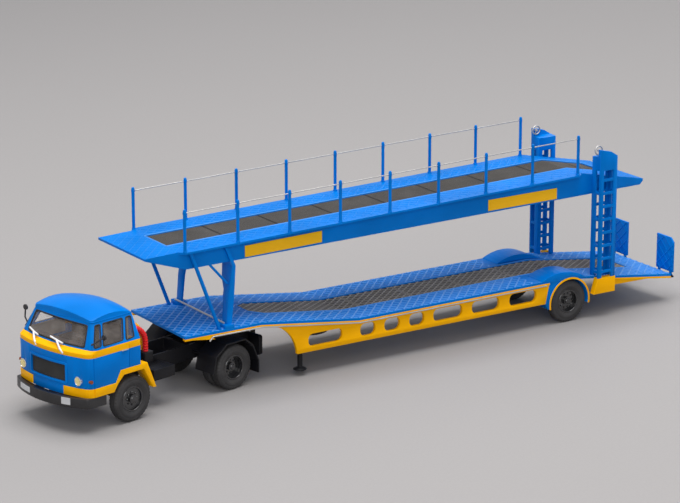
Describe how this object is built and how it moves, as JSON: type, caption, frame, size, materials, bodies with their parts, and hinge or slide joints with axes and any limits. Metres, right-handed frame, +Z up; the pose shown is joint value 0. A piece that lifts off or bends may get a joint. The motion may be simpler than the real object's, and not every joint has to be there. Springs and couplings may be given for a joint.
{
  "type": "toy car transporter truck",
  "caption": "Toy articulated car transporter: forward-control tractor with fifth wheel, two-deck semi-trailer with ladder towers, rail posts, wires and rear ramps.",
  "frame": {"origin": "centre of the bounding box, on the floor under the wheels", "axes": "+X forward along the trailer, +Y to the truck's left, +Z up"},
  "size_m": [0.4134, 0.083, 0.1086],
  "materials": {
    "blue_paint": "gloss",
    "yellow_paint": "gloss",
    "black_chassis": "satin",
    "tyre": "matt",
    "rim": "satin",
    "wire": "bright",
    "grating": "satin",
    "glass": "clear",
    "red_hose": "gloss",
    "yellow_hose": "gloss",
    "lamp": "clear",
    "orange_lamp": "gloss",
    "interior": "matt",
    "grey_plastic": "satin",
    "white": "satin"
  },
  "bodies": {
    "trailer": {"arch_lips": "yellow_paint", "axle_hangers": "black_chassis", "edge_wires": "wire", "front_posts": "blue_paint", "front_stays": "blue_paint", "kingpin_plate": "black_chassis", "landing_legs": "black_chassis", "lower_deck": "blue_paint", "lower_grating": "grating", "name_boards": "yellow_paint", "pulleys": "wire", "rail_posts": "blue_paint", "rail_wires": "wire", "ramp_hinges": "black_chassis", "side_frames": "yellow_paint", "spare_rim": "black_chassis", "spare_tyre": "tyre", "tower_feet": "yellow_paint", "towers": "blue_paint", "upper_deck": "blue_paint", "upper_grating": "grating", "wheel_arches": "blue_paint"},
    "tractor": {"axle_carriers": "black_chassis", "battery_and_tank": "black_chassis", "blank_plates": "white", "bumper": "black_chassis", "cab_belt": "yellow_paint", "cab_glass": "glass", "cab_interior": "interior", "cab_lower": "blue_paint", "cab_upper": "blue_paint", "coupling": "black_chassis", "door_handles": "wire", "grille_frame": "blue_paint", "grille_insert": "grey_plastic", "headlamps": "lamp", "indicators": "orange_lamp", "mirrors": "black_chassis", "mudguards": "black_chassis", "red_air_line": "red_hose", "tractor_chassis": "black_chassis", "wings": "yellow_paint", "wipers": "wire", "yellow_air_line": "yellow_hose"},
    "front_wheelset": {"front_axle": "black_chassis", "front_tyres": "tyre", "front_rims": "rim"},
    "drive_wheelset": {"drive_axle": "black_chassis", "drive_tyres": "tyre", "drive_rims": "rim"},
    "trailer_wheelset": {"trailer_axle": "black_chassis", "trailer_tyres": "tyre", "trailer_rims": "rim"},
    "left_ramp": {"ramp_left": "blue_paint"},
    "right_ramp": {"ramp_right": "blue_paint"}
  },
  "joints": [
    {"name": "tractor_turn", "type": "hinge", "parent": "trailer", "child": "tractor", "pos_m": [0.10203, -0.00881, 0.0316], "axis": [0, 0, 1], "range_deg": [-47.6, 22.4]},
    {"name": "front_wheels_spin", "type": "hinge", "parent": "tractor", "child": "front_wheelset", "pos_m": [0.16791, 0.00591, 0.0122], "axis": [-0.2181, 0.9759, 0], "continuous": true},
    {"name": "drive_wheels_spin", "type": "hinge", "parent": "tractor", "child": "drive_wheelset", "pos_m": [0.09813, -0.00969, 0.0122], "axis": [-0.2181, 0.9759, 0], "continuous": true},
    {"name": "trailer_wheels_spin", "type": "hinge", "parent": "trailer", "child": "trailer_wheelset", "pos_m": [-0.12897, -0.00881, 0.0122], "axis": [0, 1, 0], "continuous": true},
    {"name": "left_ramp_fold", "type": "hinge", "parent": "trailer", "child": "left_ramp", "pos_m": [-0.20537, 0.01218, 0.0147], "axis": [0, -1, 0], "range_deg": [0, 126]},
    {"name": "right_ramp_fold", "type": "hinge", "parent": "trailer", "child": "right_ramp", "pos_m": [-0.20537, -0.02982, 0.0147], "axis": [0, -1, 0], "range_deg": [0, 126]}
  ]
}
